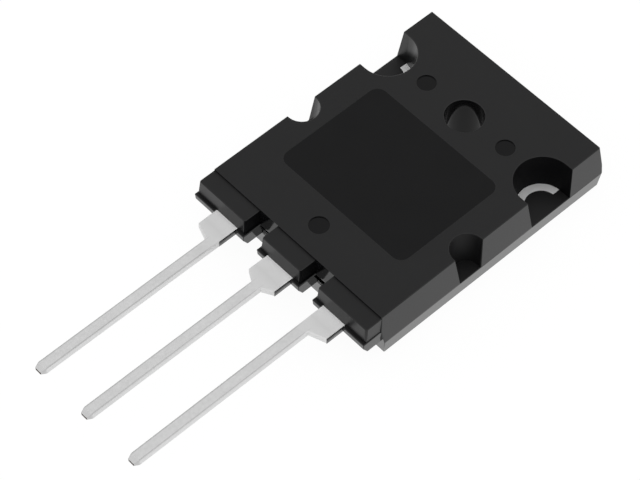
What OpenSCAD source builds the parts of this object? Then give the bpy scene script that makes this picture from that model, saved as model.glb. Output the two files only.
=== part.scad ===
// Power transistor: a black moulded package with three flat leads and a bare metal back.
// X runs across the package, the leads point along -Y, and Z rises from the metal back.
// The origin is the centre of the mounting hole on the back. Lengths are in millimetres.

/* [Moulded body] */
// Width across the side walls' parting line
body_w = 20; // [19:0.1:22]
// Mounting hole centre to the far end, where it is longest
body_far = 5.94; // [5.6:0.02:7]
// Mounting hole centre to the front face, where it is longest
body_near = 18.43; // [18:0.01:20]
// Thickness, from the metal back to the top face
body_t = 5; // [4.8:0.1:6]
// Draft of the body's walls above their parting line, in degrees
upper_draft = 6.7; // [5.5:0.1:9]
// Draft of the side walls below their parting line, in degrees
side_lower_draft = 9.1; // [5:0.1:12]
// Draft of the front face below its parting line, in degrees
front_lower_draft = 8; // [4:0.5:10]
// Draft of the far wall below its parting line, in degrees
far_lower_draft = 1; // [0.5:0.5:4]

/* [Lead blocks] */
// Front face of the body to the lip along the blocks' fronts
block_l = 1.84; // [1.5:0.01:2.4]
// Step down from the top face to the blocks' tops
block_drop = 0.15; // [0.08:0.01:0.4]
// Draft of the blocks' sides, and of their fronts just below the lip, in degrees
block_draft = 3.5; // [3:0.1:5.5]
// Width of the middle block at its top
mid_block_w = 4.4; // [4:0.02:4.8]
// Width of each slot between two blocks, at their tops
slot_w = 2.02; // [1.6:0.01:2.2]
// How far the outer blocks stand in from the body's sides
block_inset = 0.02; // [0.02:0.01:0.2]
// Lip round the leads' upper faces, along the blocks' fronts
front_lip = 0.27; // [0.15:0.01:0.4]
// The same lip, along the sides that face the slots
side_lip = 0.15; // [0.05:0.01:0.2]
// Height of the blocks' undersides above the back
block_under_z = 2; // [1.7:0.05:2.4]
// Slope of the blocks' fronts below the leads, where they run back to the undersides, in degrees
under_draft = 30; // [20:1:45]

/* [Hole, notches and marks] */
// Radius of the mounting hole
hole_r = 1.65; // [1.5:0.05:1.8]
// Radius of the large side notches at their floor
notch_r = 2.1; // [1.8:0.02:2.3]
// Side of the body to the large notches' centres
notch_in = 1.05; // [0.6:0.05:1.4]
// Radius of the small side notches at their floor
small_notch_r = 1.11; // [0.9:0.01:1.3]
// Side of the body to the small notches' centres
small_notch_in = 0.48; // [0.2:0.01:0.8]
// Mounting hole centre to the small notches' centres
small_notch_y = 8.95; // [8:0.05:10]
// Radius of the two ejector marks beside the hole
mark_r = 0.82; // [0.6:0.02:1]
// Mounting hole centre to each of these two marks, across the body
mark_x = 4.5; // [4:0.1:5]
// How far these two marks lie beyond the hole's centre
mark_y = 0.12; // [0:0.02:0.4]
// Radius of the single ejector mark near the leads
front_mark_r = 0.85; // [0.6:0.05:1.1]
// Front face of the body to that mark's centre
front_mark_in = 2.57; // [1.8:0.01:3]
// Depth of the three ejector marks
mark_depth = 0.1; // [0.05:0.01:0.2]

/* [Heat spreader] */
// Thickness of the plate, which is also the height of the side walls' parting line
plate_t = 1.9; // [1.7:0.05:2.1]
// Moulded wall between the body's side walls and the plate's sides
side_wall = 1.15; // [0.9:0.05:1.6]
// Moulded wall between the body's far end and the plate's far end
far_wall = 1.1; // [0.8:0.05:1.4]
// Moulded wall between the front face and the plate's front edge
front_wall = 3; // [2.6:0.1:3.4]
// Radius of the half-round bites in the plate's sides
bite_r = 1.41; // [1.1:0.01:1.6]
// Moulding between the small side notches and the plate
small_bite_t = 0.2; // [0.1:0.05:0.4]
// Moulded bush between the mounting hole and the plate
bush_t = 0.95; // [0.6:0.05:1.3]
// Length along which the middle lead climbs from the plate
climb_l = 1.3; // [1:0.1:1.8]

/* [Leads] */
// Distance between neighbouring leads' centres
pitch = 5.45; // [5.2:0.01:5.6]
// Width of a leg
lead_w = 1; // [0.8:0.05:1.2]
// Thickness of the leads
lead_t = 0.6; // [0.4:0.05:0.7]
// Height of the leads' undersides above the back
lead_z = 2.8; // [2.5:0.05:2.9]
// Width of the outer leads where they leave the body
outer_root_w = 2.5; // [2:0.1:2.8]
// Width of the middle lead where it leaves the body
mid_root_w = 3; // [2.4:0.1:3.4]
// Front face of the body to the end of the wide roots
root_l = 3.5; // [3:0.1:5]
// Length of the shoulders that narrow the roots to the legs
shoulder_l = 0.55; // [0.4:0.05:1]
// Front face of the body to the tips
lead_l = 21.37; // [12:0.01:24]
// Length of the tapered tips
tip_l = 0.45; // [0.3:0.05:0.7]
// How much each side of a tip draws in, across the leg
tip_side = 0.15; // [0.1:0.01:0.25]
// How much each face of a tip draws in, through the leg
tip_face = 0.17; // [0.1:0.01:0.18]
// Width of the bonding posts inside the body
post_w = 4.2; // [3.4:0.1:4.6]
// Length of the bonding posts
post_l = 1.5; // [1.2:0.1:1.8]
// Front face of the body to the bonding posts
post_in = 1.05; // [0.8:0.05:1.2]

/* [Chip and wires] */
// Side of the square chip
chip_w = 7; // [5.5:0.1:8]
// Thickness of the chip
chip_t = 0.35; // [0.2:0.01:0.5]
// Thickness of the solder under the chip
solder_t = 0.08; // [0.05:0.01:0.15]
// Margin of solder round the chip
solder_rim = 0.15; // [0.05:0.05:0.3]
// Mounting hole centre to the chip's centre
chip_y = 8.6; // [8:0.1:9.4]
// Diameter of the two heavy wires
power_wire_d = 0.4; // [0.3:0.05:0.5]
// Diameter of the thin wire
control_wire_d = 0.2; // [0.12:0.02:0.3]
// Height of the wires' arcs above a straight line between their ends
wire_rise = 1; // [0.8:0.05:1.2]
// Distance between the two heavy wires
wire_gap = 1.3; // [0.9:0.05:1.5]
// Edge of the chip to the wires' ends on it
pad_in = 1; // [0.6:0.05:1.4]

/* [Hidden] */
$fn = 96;

mould_black = [0.09, 0.09, 0.1];
tin_grey = [0.8, 0.8, 0.81];
solder_grey = [0.6, 0.61, 0.63];
silicon_grey = [0.3, 0.31, 0.36];
wire_silver = [0.85, 0.86, 0.87];

// How far a cutter reaches past the face it opens
over = 0.1;
// How far a block is rooted in the body
root = 0.5;

// Slopes of the walls, in millimetres across for each millimetre up
upper_slope = tan(upper_draft);
side_lower_slope = tan(side_lower_draft);
front_lower_slope = tan(front_lower_draft);
far_lower_slope = tan(far_lower_draft);
block_slope = tan(block_draft);
under_slope = tan(under_draft);

// Heights. The parting line runs along the plate's top on the side walls,
// along the leads' undersides on the far wall and along their tops on the front face
lead_top = lead_z + lead_t;
side_parting_z = plate_t;
far_parting_z = lead_z;
front_parting_z = lead_top;
block_top = body_t - block_drop;
chip_z = plate_t + solder_t;
chip_top = chip_z + chip_t;

// Half width of the body at its parting line, and at a height above it
half_w = body_w / 2;
function side_at(z) = half_w - (z - side_parting_z) * upper_slope;

// Sides of the blocks, measured along X. The lip on an outer block's outer side lies
// as far in from the body's side wall as the block's top does
block_foot_w = (block_top - lead_top) * block_slope;
block_side = side_at(block_top) - block_inset;
outer_lip = side_at(lead_top) - side_at(block_top) - block_foot_w;
slot_inner = mid_block_w / 2;
slot_outer = slot_inner + slot_w;

// Fronts of the blocks, measured along Y. Above the lip they slope as the body's walls do,
// and below it they stay nearly upright down to the leads' undersides
lip_y = -body_near - block_l;
block_foot_y = lip_y + front_lip;
block_front_y = block_foot_y + (block_top - lead_top) * upper_slope;
belly_y = lip_y + lead_t * block_slope;
block_under_y = belly_y + (lead_z - block_under_z) * under_slope;
block_root_y = -body_near + root;

// Centres of the notches
notch_x = half_w - notch_in;
small_notch_x = half_w - small_notch_in;

// Edges of the plate
plate_side = half_w - side_wall;
plate_far = body_far - far_wall;
plate_near = -body_near + front_wall;

// Stations along the leads
root_y = -body_near - root_l;
tip_y = -body_near - lead_l;
post_front = -body_near + post_in;
post_back = post_front + post_l;

// Where the wires land: on the posts, and on the chip
post_pad_y = (post_front + post_back) / 2;
chip_pad_y = -chip_y - chip_w / 2 + pad_in;
chip_pad_x = chip_w / 2 - pad_in;

// An outline in the XZ plane, drawn out from y = from to y = to
module along_y(from, to) {
    translate([0, to, 0]) rotate([90, 0, 0]) linear_extrude(to - from) children();
}

// An outline in the YZ plane, drawn out from x = from to x = to
module along_x(from, to) {
    translate([from, 0, 0]) rotate([90, 0, 90]) linear_extrude(to - from) children();
}

// The child and its mirror image on the other side of the YZ plane
module both_sides() {
    children();
    mirror([1, 0, 0]) children();
}

// The main block: widest at its parting line, and drafted above and below it
module main_block() {
    side_top_in = half_w - side_at(body_t);
    side_back_in = side_parting_z * side_lower_slope;
    far_top_in = (body_t - far_parting_z) * upper_slope;
    far_back_in = far_parting_z * far_lower_slope;
    front_top_in = (body_t - front_parting_z) * upper_slope;
    front_back_in = front_parting_z * front_lower_slope;
    intersection() {
        along_y(-body_near - over, body_far + over) polygon([
            [half_w - side_back_in, 0], [half_w, side_parting_z], [half_w - side_top_in, body_t],
            [side_top_in - half_w, body_t], [-half_w, side_parting_z], [side_back_in - half_w, 0]
        ]);
        along_x(-half_w - over, half_w + over) polygon([
            [body_far - far_back_in, 0], [body_far, far_parting_z], [body_far - far_top_in, body_t],
            [front_top_in - body_near, body_t], [-body_near, front_parting_z],
            [front_back_in - body_near, 0]
        ]);
    }
}

// One lead block, from x = left to x = right at its top, with the width of its right lip
module lead_block(left, right, right_lip) {
    sole_in = (lead_top - block_under_z) * block_slope;
    left_lip_x = left - block_foot_w - side_lip;
    right_lip_x = right + block_foot_w + right_lip;
    intersection() {
        along_y(lip_y - over, block_root_y + over) polygon([
            [left, block_top], [left - block_foot_w, lead_top], [left_lip_x, lead_top],
            [left_lip_x + sole_in, block_under_z], [right_lip_x - sole_in, block_under_z],
            [right_lip_x, lead_top], [right + block_foot_w, lead_top], [right, block_top]
        ]);
        along_x(left_lip_x - over, right_lip_x + over) polygon([
            [block_root_y, block_top], [block_front_y, block_top], [block_foot_y, lead_top],
            [lip_y, lead_top], [belly_y, lead_z], [block_under_y, block_under_z],
            [block_root_y, block_under_z]
        ]);
    }
}

// The space of a side notch: a cone with its mouth carried out to the body's side
module notch_space(x, y, floor_r) {
    h = body_t - plate_t + over;
    mouth_r = floor_r + h * upper_slope;
    translate([x, y, plate_t]) {
        cylinder(h = h, r1 = floor_r, r2 = mouth_r);
        along_x(0, half_w - x + over)
            polygon([[-floor_r, 0], [floor_r, 0], [mouth_r, h], [-mouth_r, h]]);
    }
}

// A shallow round mark in the top face
module ejector_mark(x, y, r) {
    translate([x, y, body_t - mark_depth]) cylinder(h = mark_depth + over, r = r);
}

// The side view of a lead from y = start to its tip
module lead_profile(start) {
    polygon([
        [start, lead_z], [start, lead_top], [tip_y + tip_l, lead_top],
        [tip_y, lead_top - tip_face], [tip_y, lead_z + tip_face], [tip_y + tip_l, lead_z]
    ]);
}

// The right-hand lead, seen from above: bonding post, root, shoulder, leg and tip
module right_lead_plan() {
    inner = pitch - lead_w / 2;
    outer = pitch + lead_w / 2;
    root_out = inner + outer_root_w;
    post_mid = (inner + root_out) / 2;
    polygon([
        [post_mid - post_w / 2, post_back], [post_mid - post_w / 2, post_front],
        [inner, post_front], [inner, tip_y + tip_l], [inner + tip_side, tip_y],
        [outer - tip_side, tip_y], [outer, tip_y + tip_l], [outer, root_y - shoulder_l],
        [root_out, root_y], [root_out, post_front], [post_mid + post_w / 2, post_front],
        [post_mid + post_w / 2, post_back]
    ]);
}

module outer_lead() {
    intersection() {
        linear_extrude(body_t) right_lead_plan();
        along_x(0, half_w) lead_profile(post_back);
    }
}

// A round hole through the plate, or a bite where its centre lies near the plate's side
module plate_hole(x, y, r) {
    translate([x, y, -over]) cylinder(h = plate_t + 2 * over, r = r);
}

// The plate of the heat spreader, flush with the back, with its bites and screw hole
module plate() {
    difference() {
        translate([-plate_side, plate_near, 0])
            cube([2 * plate_side, plate_far - plate_near, plate_t]);
        both_sides() plate_hole(notch_x, 0, bite_r);
        both_sides() plate_hole(small_notch_x, -small_notch_y, small_notch_r + small_bite_t);
        plate_hole(0, 0, hole_r + bush_t);
    }
}

// The middle lead, which climbs out of the plate's front edge in one piece with it
module middle_lead() {
    foot_y = plate_near - climb_l / 3;
    head_y = foot_y - climb_l;
    intersection() {
        linear_extrude(body_t) polygon([
            [-mid_root_w / 2, plate_near + root], [-mid_root_w / 2, root_y],
            [-lead_w / 2, root_y - shoulder_l], [-lead_w / 2, tip_y + tip_l],
            [tip_side - lead_w / 2, tip_y], [lead_w / 2 - tip_side, tip_y],
            [lead_w / 2, tip_y + tip_l], [lead_w / 2, root_y - shoulder_l],
            [mid_root_w / 2, root_y], [mid_root_w / 2, plate_near + root]
        ]);
        along_x(-mid_root_w, mid_root_w) union() {
            polygon([
                [plate_near + root, plate_t], [foot_y, plate_t], [head_y, lead_top],
                [head_y - root, lead_top], [head_y - root, lead_z], [head_y, lead_z],
                [foot_y, plate_t - lead_t], [plate_near + root, plate_t - lead_t]
            ]);
            lead_profile(head_y);
        }
    }
}

// A wire that loops from one flat pad to another in an upright plane, cut flush with both
module bond_wire(from, to, d) {
    span = to - from;
    run = norm([span.x, span.y]);
    chord = norm(span);
    r = (chord * chord / 4 + wire_rise * wire_rise) / (2 * wire_rise);
    half_turn = asin(chord / 2 / r) + d / r * 180 / PI;
    pad = 4 * d;
    difference() {
        translate(from)
            rotate([0, -atan2(span.z, run), atan2(span.y, span.x)])
            translate([chord / 2, 0, wire_rise - r])
            rotate([90, 0, 0])
            rotate([0, 0, 90 - half_turn])
            rotate_extrude(angle = 2 * half_turn)
            translate([r, 0]) circle(d = d, $fn = 32);
        for (end = [from, to])
            translate([end.x - pad / 2, end.y - pad / 2, end.z - pad]) cube(pad);
    }
}

// A heavy wire from the right-hand post to the chip; shift sets the two wires side by side
module power_wire(shift) {
    color(wire_silver)
        bond_wire([pitch + shift, post_pad_y, lead_top],
                  [chip_pad_x - wire_gap + shift, chip_pad_y, chip_top], power_wire_d);
}

module moulded_body() {
    color(mould_black) difference() {
        union() {
            main_block();
            lead_block(-slot_inner, slot_inner, side_lip);
            both_sides() lead_block(slot_outer, block_side, outer_lip);
        }
        translate([0, 0, -over]) cylinder(h = body_t + 2 * over, r = hole_r);
        both_sides() notch_space(notch_x, 0, notch_r);
        both_sides() notch_space(small_notch_x, -small_notch_y, small_notch_r);
        both_sides() ejector_mark(mark_x, mark_y, mark_r);
        ejector_mark(0, -body_near + front_mark_in, front_mark_r);
        heat_spreader();
        left_lead();
        right_lead();
        die_attach_solder();
        chip();
        control_wire();
        power_wire_1();
        power_wire_2();
    }
}

module heat_spreader() {
    color(tin_grey) union() {
        plate();
        middle_lead();
    }
}

module right_lead() {
    color(tin_grey) outer_lead();
}

module left_lead() {
    color(tin_grey) mirror([1, 0, 0]) outer_lead();
}

module die_attach_solder() {
    side = chip_w + 2 * solder_rim;
    color(solder_grey) translate([-side / 2, -chip_y - side / 2, plate_t]) cube([side, side, solder_t]);
}

module chip() {
    color(silicon_grey) translate([-chip_w / 2, -chip_y - chip_w / 2, chip_z]) cube([chip_w, chip_w, chip_t]);
}

module control_wire() {
    color(wire_silver)
        bond_wire([-pitch, post_pad_y, lead_top], [-chip_pad_x, chip_pad_y, chip_top], control_wire_d);
}

module power_wire_1() {
    power_wire(0);
}

module power_wire_2() {
    power_wire(wire_gap);
}

moulded_body();
heat_spreader();
left_lead();
right_lead();
chip();
die_attach_solder();
control_wire();
power_wire_1();
power_wire_2();
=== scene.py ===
import math

import bmesh
import bpy
from mathutils import Matrix, Vector


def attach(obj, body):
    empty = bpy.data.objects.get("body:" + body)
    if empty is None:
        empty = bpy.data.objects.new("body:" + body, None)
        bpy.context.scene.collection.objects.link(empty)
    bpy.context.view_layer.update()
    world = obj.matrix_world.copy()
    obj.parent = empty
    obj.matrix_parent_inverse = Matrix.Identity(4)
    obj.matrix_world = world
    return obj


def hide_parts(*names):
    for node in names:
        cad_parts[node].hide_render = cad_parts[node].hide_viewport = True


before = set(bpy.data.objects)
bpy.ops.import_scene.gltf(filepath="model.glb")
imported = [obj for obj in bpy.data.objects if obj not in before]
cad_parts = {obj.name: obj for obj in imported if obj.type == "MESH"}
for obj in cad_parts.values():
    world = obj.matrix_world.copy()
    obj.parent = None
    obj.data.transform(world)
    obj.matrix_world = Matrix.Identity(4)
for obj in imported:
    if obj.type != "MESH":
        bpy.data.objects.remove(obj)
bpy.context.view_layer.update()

MM = 0.001

# Camera, as a direction from the target and a shift of the target in the picture
CAMERA_AZIMUTH = math.radians(47.68)
CAMERA_ELEVATION = math.radians(54.74)
CAMERA_ROLL = math.radians(-0.37)
CAMERA_DISTANCE = 210.31 * MM
CAMERA_TARGET = Vector((0, -10, 2.5)) * MM
CAMERA_SHIFT_RIGHT = -4.242 * MM
CAMERA_SHIFT_UP = -2.970 * MM
PICTURE_WIDTH = 640
FOCAL_PIXELS = 2646.1
SENSOR_WIDTH = 36

# Light: an even sky with a darker patch where the top face mirrors it
SKY_STRENGTH = 0.9
PATCH_STRENGTH = 0.33
PATCH_DIRECTION = (-0.427, 0.389, 0.8166)
PATCH_EDGE = 0.949
PATCH_BLUR = 0.07
LAMP_SIZE = 0.25
LAMP_AIM = Vector((0, -0.015, 0))
SOFT_LAMP_PLACE = Vector((0.15, -0.02, 0.35))
SOFT_LAMP_POWER = 0.055
FRONT_LAMP_PLACE = Vector((-0.1, -0.3, 0.25))
FRONT_LAMP_POWER = 0.028
FLOOR_SIZE = 1.2
FLOOR_BASE = 0.93
FLOOR_GLOW_SHARE = 0.93
FLOOR_GLOW = 1.02
# Less floor glow under the hole: a painted shadow in the hole's outline
HOLE_SHADOW_GLOW_SHARE = 0.3

# Sizes that the moulding and the leads share with the CAD part, in millimetres
HOLE_RADIUS = 1.65
BLOCK_TOP_Z = 4.85
LEAD_TOP_Z = 3.4
LEAD_UNDER_Z = 2.8
PLATE_TOP_Z = 1.9
SIDE_X = 10.0
FRONT_Y = -18.43
STEP_Y = -18.25
LIP_Y = -20.27
ROOT_END_Y = -21.93
TIP_Y = -39.8
LEAD_PITCH = 5.45
TIP_LENGTH = 0.45
NOTCH_PLACES = ((8.95, 0.0, 2.5), (9.52, -8.95, 1.6))
ROOT_SPANS = ((-7.45, -4.95), (-1.5, 1.5), (4.95, 7.45))
MARK_PLACES = ((4.5, 0.12, 0.82), (-4.5, 0.12, 0.82), (0.0, -15.86, 0.85))

# The smooth marking field on the top face: centre, half sizes and corner radius
FIELD_CENTRE = (0.0, -8.34)
FIELD_HALF = (6.98, 5.4)
FIELD_CORNER = 0.9

# Finish of the moulding
RESIN_DARK = (0.0022, 0.0022, 0.0025, 1)
RESIN_LIGHT = (0.0042, 0.0042, 0.0046, 1)
RESIN_IOR = 1.45
MATT_TOP = 0.44
POLISHED = 0.07
BLOCK_DULL = 0.3
POCKET_DULL = 0.48
# Specular levels of the pocket walls, cut low as a painted shade for the shade in the notches and
# slots
DEEP_POCKET_SHADED_SHINE = 0.04
SHALLOW_POCKET_SHADED_SHINE = 0.26

# Brightness of the tin's colour, with painted light on the roots by the block and painted shade
# along the lead rims
ROOT_TIN = 0.75
# Root tin next to the block is brightened as painted light
ROOT_TIN_PAINTED_LIGHT_AT_BLOCK = 0.97
WORN_AND_SHADED_TIN = 0.35
RIM_PAINTED_SHADE = 0.42
TIP_WEAR = 0.3
RIM_START = 0.37
RIM_END = 0.47

# Colours of the bare metals
DARK_COPPER = (0.03, 0.024, 0.02, 1)
LIT_COPPER = (0.09, 0.07, 0.06, 1)
ALUMINIUM = (0.86, 0.86, 0.87, 1)
SILICON = (0.22, 0.23, 0.27, 1)
SOLDER = (0.5, 0.5, 0.52, 1)

# Limits that tell the moulding's outside from its faces against the pieces inside it
BACK_Z = 0.1
TOP_SKIN_Z = 4.8
SIDE_SKIN_X = 9.5
FRONT_SKIN_Y = -18.1
FAR_SKIN_Y = 5.5
BACK_SIDE_X = 9.6
BACK_FRONT_Y = -17.9

# Limits that tell the moulding's faces apart
LEVEL_NORMAL_Z = 0.6
TOP_FACE_Z = 4.7
NOTCH_FLOOR_X = 6.5
SLOT_X = 6.0
BLOCK_CORNER_Y = -19.7
OUTSIDE_BLOCK_Y = -19.5

# Flash, the thin skins of resin on the roots: how its thickness waves and thins out, and its
# outline as shares of the thickness, each with a height
FLASH_THICKNESS = 0.08
FLASH_STEPS = 14
FLASH_WAVE = 0.12
FLASH_WAVE_TURN = 9.1
FLASH_TAPER = 0.25
FLASH_OUTLINE = ((0.0, 3.41), (0.8, 3.41), (1.0, 3.37), (1.0, 3.18), (0.25, 2.8), (0.0, 2.8))

# Rounding of the edges
WELD = 0.001 * MM
FLAT_ANGLE = math.radians(0.4)
SHARP_ANGLE = math.radians(14)
FACET_ANGLE = math.radians(13)
EDGE_ROUND = 0.06
CORNER_ROUND = 0.17
FAR_CORNER_ROUND = 0.15
LEAD_ROUND = 0.08


class Value:
    """A socket that carries a number. Arithmetic on it adds Math nodes."""

    def __init__(self, graph, socket):
        self.graph = graph
        self.socket = socket

    def math(self, operation, *terms, clamp=False):
        settings = {"operation": operation, "use_clamp": clamp}
        return self.graph.node("Math", settings, dict(enumerate(terms))).value()

    def __add__(self, other):
        return self.math("ADD", self, other)

    def __radd__(self, other):
        return self.math("ADD", other, self)

    def __sub__(self, other):
        return self.math("SUBTRACT", self, other)

    def __rsub__(self, other):
        return self.math("SUBTRACT", other, self)

    def __mul__(self, other):
        return self.math("MULTIPLY", self, other)

    def __rmul__(self, other):
        return self.math("MULTIPLY", other, self)

    def __truediv__(self, other):
        return self.math("DIVIDE", self, other)

    def __rtruediv__(self, other):
        return self.math("DIVIDE", other, self)

    def __abs__(self):
        return self.math("ABSOLUTE", self)

    def power(self, exponent):
        return self.math("POWER", self, exponent)

    def lower_of(self, other):
        return self.math("MINIMUM", self, other)

    def higher_of(self, other):
        return self.math("MAXIMUM", self, other)

    def step(self, edge, blur):
        """0 below the edge and 1 above it, over a blurred band."""
        return self.math("MULTIPLY_ADD", self, 1 / blur, 0.5 - edge / blur, clamp=True)


class Node:
    """A shader node whose outputs are picked by name or number."""

    def __init__(self, graph, node):
        self.graph = graph
        self.node = node

    def out(self, key=0):
        return self.node.outputs[key]

    def value(self, key=0):
        return Value(self.graph, self.out(key))


class Graph:
    """The node tree of one material, or of the world."""

    def __init__(self, owner):
        owner.use_nodes = True
        self.tree = owner.node_tree
        self.tree.nodes.clear()

    def node(self, kind, settings=None, sockets=None):
        """Adds a node: its settings first, then the values or links of its sockets."""
        node = self.tree.nodes.new("ShaderNode" + kind)
        for name, setting in (settings or {}).items():
            setattr(node, name, setting)
        for key, source in (sockets or {}).items():
            self.feed(node.inputs[key], source)
        return Node(self, node)

    def feed(self, socket, source):
        if isinstance(source, Value):
            source = source.socket
        if isinstance(source, Node):
            source = source.out()
        if isinstance(source, bpy.types.NodeSocket):
            self.tree.links.new(source, socket)
        else:
            socket.default_value = source

    def position(self):
        """Object coordinates in millimetres, as three numbers."""
        place = self.node("TexCoord").out("Object")
        split = self.node("SeparateXYZ", None, {0: place})
        return [split.value(axis) / MM for axis in range(3)]

    def noise(self, cycles, detail=2.0, roughness=0.5):
        """Noise from 0 to 1, from its cycles in a millimetre, alike or given for each axis."""
        per_axis = cycles if isinstance(cycles, tuple) else (cycles, cycles, cycles)
        stretch = tuple(count / MM for count in per_axis)
        place = self.node("TexCoord").out("Object")
        stretched = self.node("Mapping", {"vector_type": "POINT"}, {0: place, "Scale": stretch})
        sockets = {"Vector": stretched, "Scale": 1.0, "Detail": detail, "Roughness": roughness}
        return self.node("TexNoise", None, sockets).value("Fac")

    def mix_colour(self, factor, first, second):
        return self.node("Mix", {"data_type": "RGBA"}, {0: factor, 6: first, 7: second}).out(2)

    def bump(self, height, strength, depth):
        """A normal from a height of 0 to 1 that stands for a depth in metres."""
        sockets = {"Strength": strength, "Distance": depth, "Height": height}
        return self.node("Bump", None, sockets).out()

    def surface(self, shader):
        self.node("OutputMaterial", None, {"Surface": shader})


def grey(value):
    return (value, value, value, 1)


def new_material(name):
    material = bpy.data.materials.new(name)
    return material, Graph(material)


def moulding_base(g):
    cloud = g.noise(0.35)
    return cloud, g.mix_colour(cloud, RESIN_DARK, RESIN_LIGHT)


def top_moulding():
    """The top faces: finely spark-eroded, with a smooth marking field and smooth ejector marks."""
    material, g = new_material("moulding_top")
    cloud, base = moulding_base(g)
    x, y = g.position()[:2]
    field = rounded_box(x - FIELD_CENTRE[0], y - FIELD_CENTRE[1], FIELD_HALF, FIELD_CORNER)
    smooth = 1 - field.step(0.0, 0.08)
    for mark_x, mark_y, radius in MARK_PLACES:
        away = ((x - mark_x).power(2) + (y - mark_y).power(2)).power(0.5)
        smooth = smooth.higher_of(1 - away.step(radius - 0.02, 0.03))
    grain = g.noise(7.0, roughness=0.6)
    speck = g.noise(2.6, detail=3.0, roughness=0.65)
    matt = MATT_TOP + 0.1 * (speck - 0.5)
    even = POLISHED + 0.03 * cloud
    g.surface(g.node("BsdfPrincipled", None, {
        "Base Color": base,
        "Roughness": smooth * even + (1 - smooth) * matt,
        "IOR": RESIN_IOR,
        "Normal": g.bump(grain, strength=0.25, depth=0.003 * MM),
    }))
    return material


def side_moulding(name, dull):
    """Drafted walls and ledges, left smooth by the polished mould."""
    material, g = new_material(name)
    cloud, base = moulding_base(g)
    grain = g.noise(6.0, detail=3.0, roughness=0.6)
    g.surface(g.node("BsdfPrincipled", None, {
        "Base Color": base,
        "Roughness": dull + 0.05 * cloud,
        "IOR": RESIN_IOR,
        "Normal": g.bump(grain, strength=0.12, depth=0.003 * MM),
    }))
    return material


def shaded_pocket_moulding(name, shine_cut_for_shade):
    """Dull walls in the notches and between the blocks, with their reflection cut down as a painted
    shade for the shade that falls in them.
    """
    material, g = new_material(name)
    cloud, base = moulding_base(g)
    grain = g.noise(5.0, detail=3.0, roughness=0.6)
    g.surface(g.node("BsdfPrincipled", None, {
        "Base Color": base,
        "Roughness": POCKET_DULL + 0.12 * cloud,
        "IOR": RESIN_IOR,
        # Painted shade: the cut-down specular level darkens these walls as if they were shaded
        "Specular IOR Level": shine_cut_for_shade,
        "Normal": g.bump(grain, strength=0.3, depth=0.004 * MM),
    }))
    return material


def rounded_box(x, y, half, corner):
    """Distance outside a rectangle with rounded corners, in millimetres."""
    out_x = (abs(x) - (half[0] - corner)).higher_of(0)
    out_y = (abs(y) - (half[1] - corner)).higher_of(0)
    return (out_x.power(2) + out_y.power(2)).power(0.5) - corner


def tin_plate(name, low, high, dull):
    """Tin plating on copper: mottled, faintly lined, worn dark at the tip, with painted light on
    the roots by the block and painted shade along the rims.
    """
    material, g = new_material(name)
    mottle = g.noise(3.2, detail=3.0, roughness=0.6)
    cloud = g.noise(0.5)
    line = g.noise((9.0, 0.4, 9.0))
    x, y, z = g.position()
    base = g.mix_colour((0.65 * mottle + 0.35 * cloud).step(0.5, 0.5), grey(low), grey(high))
    lead = z.step(LEAD_UNDER_Z - 0.3, 0.4)
    root = y.step(ROOT_END_Y - 0.8, 1.6) * lead
    from_middle = abs(x).lower_of(abs(abs(x) - LEAD_PITCH))
    rim = from_middle.step(RIM_START, 0.05) * (1 - from_middle.step(RIM_END, 0.02)) * lead
    tip = 1 - y.step(TIP_Y + TIP_LENGTH, 0.1)
    # The rims get a painted shade, a dark line along each edge of the lead; the tip is worn darker
    tip_wear_and_rim_shade = (RIM_PAINTED_SHADE * rim).higher_of(TIP_WEAR * tip)
    # Painted light: the roots are brightened towards the block, against the shade the block casts
    # on them
    painted_light_beside_block = y.step(LIP_Y - 0.5, 1.0)
    root_tin_with_painted_light = g.mix_colour(painted_light_beside_block, grey(ROOT_TIN), grey(ROOT_TIN_PAINTED_LIGHT_AT_BLOCK))
    g.surface(g.node("BsdfPrincipled", None, {
        "Base Color": g.mix_colour(root, g.mix_colour(tip_wear_and_rim_shade, base, grey(WORN_AND_SHADED_TIN)), root_tin_with_painted_light),
        "Metallic": 1 - 0.75 * root,
        "Roughness": dull + 0.12 * (line - 0.5) + 0.1 * (mottle - 0.5),
        "Normal": g.bump(0.5 * line + 0.5 * mottle, strength=0.2, depth=0.004 * MM),
    }))
    return material


def cut_copper():
    """The sheared end of a lead, where the plating ends and the copper has gone dark."""
    material, g = new_material("cut_copper")
    streak = g.noise((5.0, 5.0, 1.5))
    g.surface(g.node("BsdfPrincipled", None, {
        "Base Color": g.mix_colour(streak, DARK_COPPER, LIT_COPPER),
        "Metallic": 0.6,
        "Roughness": 0.5 + 0.2 * streak,
    }))
    return material


def hidden_metal(name, colour, dull, cycles):
    """A metal of the pieces inside the moulding."""
    material, g = new_material(name)
    cloud = g.noise(cycles)
    darker = tuple(0.85 * c for c in colour[:3]) + (1,)
    g.surface(g.node("BsdfPrincipled", None, {
        "Base Color": g.mix_colour(cloud, darker, colour),
        "Metallic": 1.0,
        "Roughness": dull + 0.1 * cloud,
    }))
    return material


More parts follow.
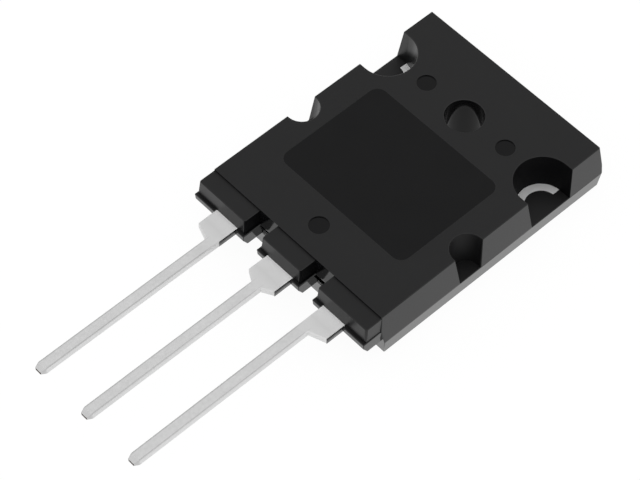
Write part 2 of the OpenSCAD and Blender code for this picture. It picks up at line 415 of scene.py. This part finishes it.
def floor_material():
    """Pale matt floor. The camera and reflections see it near white, with the object's shadow, and
    a painted shadow in the hole's outline where the glow is cut so the floor's rendered shade
    shows.
    """
    material, g = new_material("pale_floor")
    path = g.node("LightPath")
    seen = path.value("Is Camera Ray").higher_of(path.value("Is Glossy Ray"))
    seen = seen.higher_of(path.value("Is Transmission Ray"))
    x, y = g.position()[:2]
    # Painted shadow: inside the hole's outline the glow is cut and the floor's rendered shade shows
    clear_of_hole_shadow = (x.power(2) + y.power(2)).power(0.5).step(HOLE_RADIUS, 0.3)
    share = HOLE_SHADOW_GLOW_SHARE + (FLOOR_GLOW_SHARE - HOLE_SHADOW_GLOW_SHARE) * clear_of_hole_shadow
    matt = g.node("BsdfDiffuse", None, {"Color": grey(FLOOR_BASE)})
    glow = g.node("Emission", None, {"Color": grey(1.0), "Strength": FLOOR_GLOW})
    g.surface(g.node("MixShader", None, {0: seen * share, 1: matt, 2: glow}))
    return material


def merged(name):
    """A copy of a CAD node's mesh with its doubles merged and its flat faces made whole."""
    mesh = bmesh.new()
    mesh.from_mesh(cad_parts[name].data)
    bmesh.ops.remove_doubles(mesh, verts=mesh.verts, dist=WELD)
    bmesh.ops.dissolve_limit(mesh, angle_limit=FLAT_ANGLE, verts=mesh.verts, edges=mesh.edges)
    for face in mesh.faces:
        bends = [edge.calc_face_angle() for edge in face.edges]
        face.smooth = sum(FLAT_ANGLE < bend < FACET_ANGLE for bend in bends) >= 2
    return mesh


def round_edges(mesh, chosen, width, segments):
    """Rounds each sharp edge whose two ends pass a test that takes them in millimetres."""
    rounded = mesh.faces.layers.int.get("rounded") or mesh.faces.layers.int.new("rounded")
    picked = []
    for edge in mesh.edges:
        ends = [vertex.co / MM for vertex in edge.verts]
        fresh = not all(face[rounded] for face in edge.link_faces)
        if fresh and edge.calc_face_angle_signed() > SHARP_ANGLE and chosen(*ends):
            picked.append(edge)
    result = bmesh.ops.bevel(
        mesh, geom=picked, offset=width * MM, offset_type="OFFSET", segments=segments,
        profile=0.5, affect="EDGES", clamp_overlap=False, material=-1)
    for face in result["faces"]:
        face[rounded] = 1
        face.smooth = True
    for edge in mesh.edges:
        edge.smooth = len({face[rounded] for face in edge.link_faces}) == 1


def near(value, target, reach=0.02):
    return abs(value - target) < reach


def on_skin(point):
    """Whether a point of the moulding lies on its outside, and not against a piece inside it."""
    back = point.z < BACK_Z
    side = abs(point.x) > (BACK_SIDE_X if back else SIDE_SKIN_X)
    front = point.y < (BACK_FRONT_Y if back else FRONT_SKIN_Y)
    return point.z > TOP_SKIN_Z or side or front or point.y > FAR_SKIN_Y


def beside_lead(point):
    inside = any(low - 0.01 < point.x < high + 0.01 for low, high in ROOT_SPANS)
    return inside and LEAD_UNDER_Z - 0.01 < point.z < LEAD_TOP_Z + 0.01 and point.y < FRONT_Y


def on_notch_floor(point):
    return near(point.z, PLATE_TOP_Z) and abs(point.x) < SIDE_X - 0.01


def rim_of_mark(point):
    return any(
        math.hypot(point.x - x, point.y - y) < radius + 0.05 for x, y, radius in MARK_PLACES)


def soft_edge(a, b):
    """The moulding's outer edges, apart from those against the metal and round the marks."""
    if beside_lead(a) and beside_lead(b):
        return False
    if on_notch_floor(a) and on_notch_floor(b):
        return False
    if rim_of_mark(a) and rim_of_mark(b):
        return False
    if near(a.y, STEP_Y, 0.25) and near(b.y, STEP_Y, 0.25) and abs(a.x - b.x) > 0.3:
        return False
    return on_skin(a) and on_skin(b)


def block_corner(a, b):
    """The upright front corners of the lead blocks, above the lip."""
    top, foot = (a, b) if a.z > b.z else (b, a)
    return near(top.z, BLOCK_TOP_Z) and near(foot.z, LEAD_TOP_Z) and top.y < BLOCK_CORNER_Y


def far_corner(a, b):
    """The upright corner at the far right end, which is softer than the other three."""
    at_corner = min(a.x, b.x) > SIDE_SKIN_X and min(a.y, b.y) > FAR_SKIN_Y
    return at_corner and abs(a.z - b.z) > 0.5


def moulding_finish(face):
    """The number of a face's finish: top, side, deep pocket, shallow pocket or lead block."""
    top, side, deep, shallow, block = range(5)
    place = face.calc_center_median() / MM
    notch_floor = near(place.z, PLATE_TOP_Z) and abs(place.x) > NOTCH_FLOOR_X
    if face.normal.z > LEVEL_NORMAL_Z and (place.z > TOP_FACE_Z or notch_floor):
        return top
    if abs(face.normal.z) < LEVEL_NORMAL_Z and place.z > PLATE_TOP_Z + 0.02:
        for finish, (x, y, radius) in zip((deep, shallow), NOTCH_PLACES):
            if math.hypot(max(x - abs(place.x), 0), place.y - y) < radius:
                return finish if place.x > 0 else block
    if place.z <= LEAD_TOP_Z or place.y >= FRONT_Y:
        return side
    if abs(face.normal.x) > 0.3 and abs(place.x) < SLOT_X:
        return deep
    return block if place.y < FRONT_Y - 0.1 else side


def add_piece(name, mesh, materials, node=None):
    data = bpy.data.meshes.new(name)
    mesh.to_mesh(data)
    mesh.free()
    for material in materials:
        data.materials.append(material)
    piece = bpy.data.objects.new(name, data)
    bpy.context.scene.collection.objects.link(piece)
    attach(piece, "root")
    if node:
        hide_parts(node)


def add_moulding():
    mesh = merged("moulded_body")
    round_edges(mesh, block_corner, CORNER_ROUND, segments=4)
    round_edges(mesh, far_corner, FAR_CORNER_ROUND, segments=5)
    round_edges(mesh, soft_edge, EDGE_ROUND, segments=2)
    for face in mesh.faces:
        face.material_index = moulding_finish(face)
    finishes = [
        top_moulding(),
        side_moulding("moulding_side", POLISHED),
        # The two pocket finishes carry a painted shade in their weakened reflection
        shaded_pocket_moulding("moulding_deep_pocket_painted_shade", DEEP_POCKET_SHADED_SHINE),
        shaded_pocket_moulding("moulding_shallow_pocket_painted_shade", SHALLOW_POCKET_SHADED_SHINE),
        side_moulding("moulding_block", BLOCK_DULL),
    ]
    add_piece("moulding", mesh, finishes, "moulded_body")
    return finishes[1]


def lead_edge(a, b):
    """The edges along a lead, but not those across its pointed tip."""
    across_tip = max(a.y, b.y) < TIP_Y + 0.8 and abs(a.x - b.x) > 0.3
    on_lead = min(a.y, b.y) < OUTSIDE_BLOCK_Y and a.z > LEAD_UNDER_Z - 0.3
    return on_lead and not across_tip


def add_metal(node, name, finishes):
    """A tin-plated piece whose lead has soft edges and a dark cut end."""
    plain, edge, cut_end, notch_arc = range(4)
    mesh = merged(node)
    round_edges(mesh, lead_edge, LEAD_ROUND, segments=2)
    rounded = mesh.faces.layers.int["rounded"]
    for face in mesh.faces:
        place = face.calc_center_median() / MM
        # The plate's arc in the notches takes the brighter tin, painted light against the notch's
        # shade
        if face.normal.z > 0.9 and near(place.z, PLATE_TOP_Z):
            face.material_index = notch_arc
        elif face.normal.y < -0.9 and place.y < TIP_Y + 0.05:
            face.material_index = cut_end
        # Lead sides and rounded edges take the darker tin, a painted shade
        elif face[rounded] or (abs(face.normal.x) > 0.9 and place.y < ROOT_END_Y):
            face.material_index = edge
        else:
            face.material_index = plain
    add_piece(name, mesh, finishes, node)


def add_flash(name, x, material):
    """A thin skin of resin that has crept along the right-hand side of a lead's wide root."""
    start_y = LIP_Y + 0.1
    mesh = bmesh.new()
    rows = []
    for step in range(FLASH_STEPS + 1):
        along = step / FLASH_STEPS
        y = start_y + (ROOT_END_Y - start_y) * along
        wave = FLASH_WAVE * math.sin(FLASH_WAVE_TURN * along + x)
        swell = 1 + wave - FLASH_TAPER * along ** 4
        rows.append([
            mesh.verts.new(Vector((x + share * FLASH_THICKNESS * swell - 0.01, y, z)) * MM)
            for share, z in FLASH_OUTLINE
        ])
    count = len(FLASH_OUTLINE)
    for row, following in zip(rows, rows[1:]):
        for k in range(count):
            mesh.faces.new((row[k], row[(k + 1) % count], following[(k + 1) % count], following[k]))
    mesh.faces.new(rows[0][::-1])
    mesh.faces.new(rows[-1])
    bmesh.ops.recalc_face_normals(mesh, faces=mesh.faces)
    add_piece(name, mesh, [material])


def dress_nodes():
    """Gives the pieces inside the moulding their finishes."""
    bond = hidden_metal("bond_aluminium", ALUMINIUM, dull=0.25, cycles=3.0)
    finishes = {
        "chip": hidden_metal("silicon", SILICON, dull=0.08, cycles=0.5),
        "die_attach_solder": hidden_metal("solder", SOLDER, dull=0.4, cycles=2.0),
        "control_wire": bond,
        "power_wire_1": bond,
        "power_wire_2": bond,
    }
    for name, material in finishes.items():
        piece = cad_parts[name]
        piece.data.materials.clear()
        piece.data.materials.append(material)


def add_object():
    side = add_moulding()
    tin = [
        tin_plate("tin_plate", low=0.76, high=0.86, dull=0.55),
        # Darker tin on the lead sides and rounded edges, a painted shade for the less light those
        # faces catch
        tin_plate("tin_painted_shade_edge", low=0.68, high=0.78, dull=0.5),
        cut_copper(),
        # Brighter tin for the notch arc, painted light against the shade of the notch walls
        tin_plate("tin_painted_light_in_notch", low=0.92, high=0.97, dull=0.7),
    ]
    add_metal("heat_spreader", "spreader_and_middle_lead", tin)
    add_metal("left_lead", "control_lead", tin)
    add_metal("right_lead", "load_lead", tin)
    for number, (low, high) in enumerate(ROOT_SPANS, 1):
        add_flash(f"flash_{number}", high, side)


def add_camera():
    """The photograph's view, as a level camera that is rolled and then shifted sideways and up."""
    away = Vector((
        math.cos(CAMERA_ELEVATION) * math.sin(CAMERA_AZIMUTH),
        -math.cos(CAMERA_ELEVATION) * math.cos(CAMERA_AZIMUTH),
        math.sin(CAMERA_ELEVATION),
    ))
    level_right = (-away).cross(Vector((0, 0, 1))).normalized()
    level_up = level_right.cross(-away)
    right = math.cos(CAMERA_ROLL) * level_right + math.sin(CAMERA_ROLL) * level_up
    up = math.cos(CAMERA_ROLL) * level_up - math.sin(CAMERA_ROLL) * level_right
    place = CAMERA_TARGET + away * CAMERA_DISTANCE
    place += right * CAMERA_SHIFT_RIGHT
    place += up * CAMERA_SHIFT_UP
    data = bpy.data.cameras.new("camera")
    data.sensor_width = SENSOR_WIDTH
    data.lens = SENSOR_WIDTH * FOCAL_PIXELS / PICTURE_WIDTH
    data.clip_start = 0.01
    data.clip_end = 10
    camera = bpy.data.objects.new("camera", data)
    turn = Matrix((right, up, away)).transposed().to_4x4()
    camera.matrix_world = Matrix.Translation(place) @ turn
    bpy.context.scene.collection.objects.link(camera)
    bpy.context.scene.camera = camera


def add_floor():
    half = FLOOR_SIZE / 2
    mesh = bpy.data.meshes.new("floor")
    corners = [(-half, -half, 0), (half, -half, 0), (half, half, 0), (-half, half, 0)]
    mesh.from_pydata(corners, [], [(0, 1, 2, 3)])
    mesh.materials.append(floor_material())
    floor = bpy.data.objects.new("floor", mesh)
    bpy.context.scene.collection.objects.link(floor)


def add_lamp(name, place, power):
    """A round soft lamp, aimed at the middle of the object."""
    data = bpy.data.lights.new(name, "AREA")
    data.shape = "DISK"
    data.size = LAMP_SIZE
    data.energy = power
    lamp = bpy.data.objects.new(name, data)
    lamp.location = place
    lamp.rotation_mode = "QUATERNION"
    lamp.rotation_quaternion = (LAMP_AIM - place).to_track_quat("-Z", "Y")
    bpy.context.scene.collection.objects.link(lamp)


def add_light():
    """A pale sky with its darker patch, and two large soft lamps."""
    world = bpy.data.worlds.new("sky")
    bpy.context.scene.world = world
    g = Graph(world)
    direction = g.node("TexCoord").out("Generated")
    facing = g.node("VectorMath", {"operation": "DOT_PRODUCT"}, {0: direction, 1: PATCH_DIRECTION})
    patch = facing.value("Value").step(PATCH_EDGE, PATCH_BLUR)
    sky = SKY_STRENGTH + (PATCH_STRENGTH - SKY_STRENGTH) * patch
    seen = g.node("LightPath").value("Is Camera Ray")
    strength = sky * (1 - seen) + seen
    background = g.node("Background", None, {"Color": grey(1.0), "Strength": strength})
    g.node("OutputWorld", None, {"Surface": background})
    add_lamp("soft_lamp", SOFT_LAMP_PLACE, SOFT_LAMP_POWER)
    add_lamp("front_lamp", FRONT_LAMP_PLACE, FRONT_LAMP_POWER)


bpy.context.scene.view_settings.view_transform = "Standard"
add_camera()
add_floor()
add_light()
add_object()
dress_nodes()
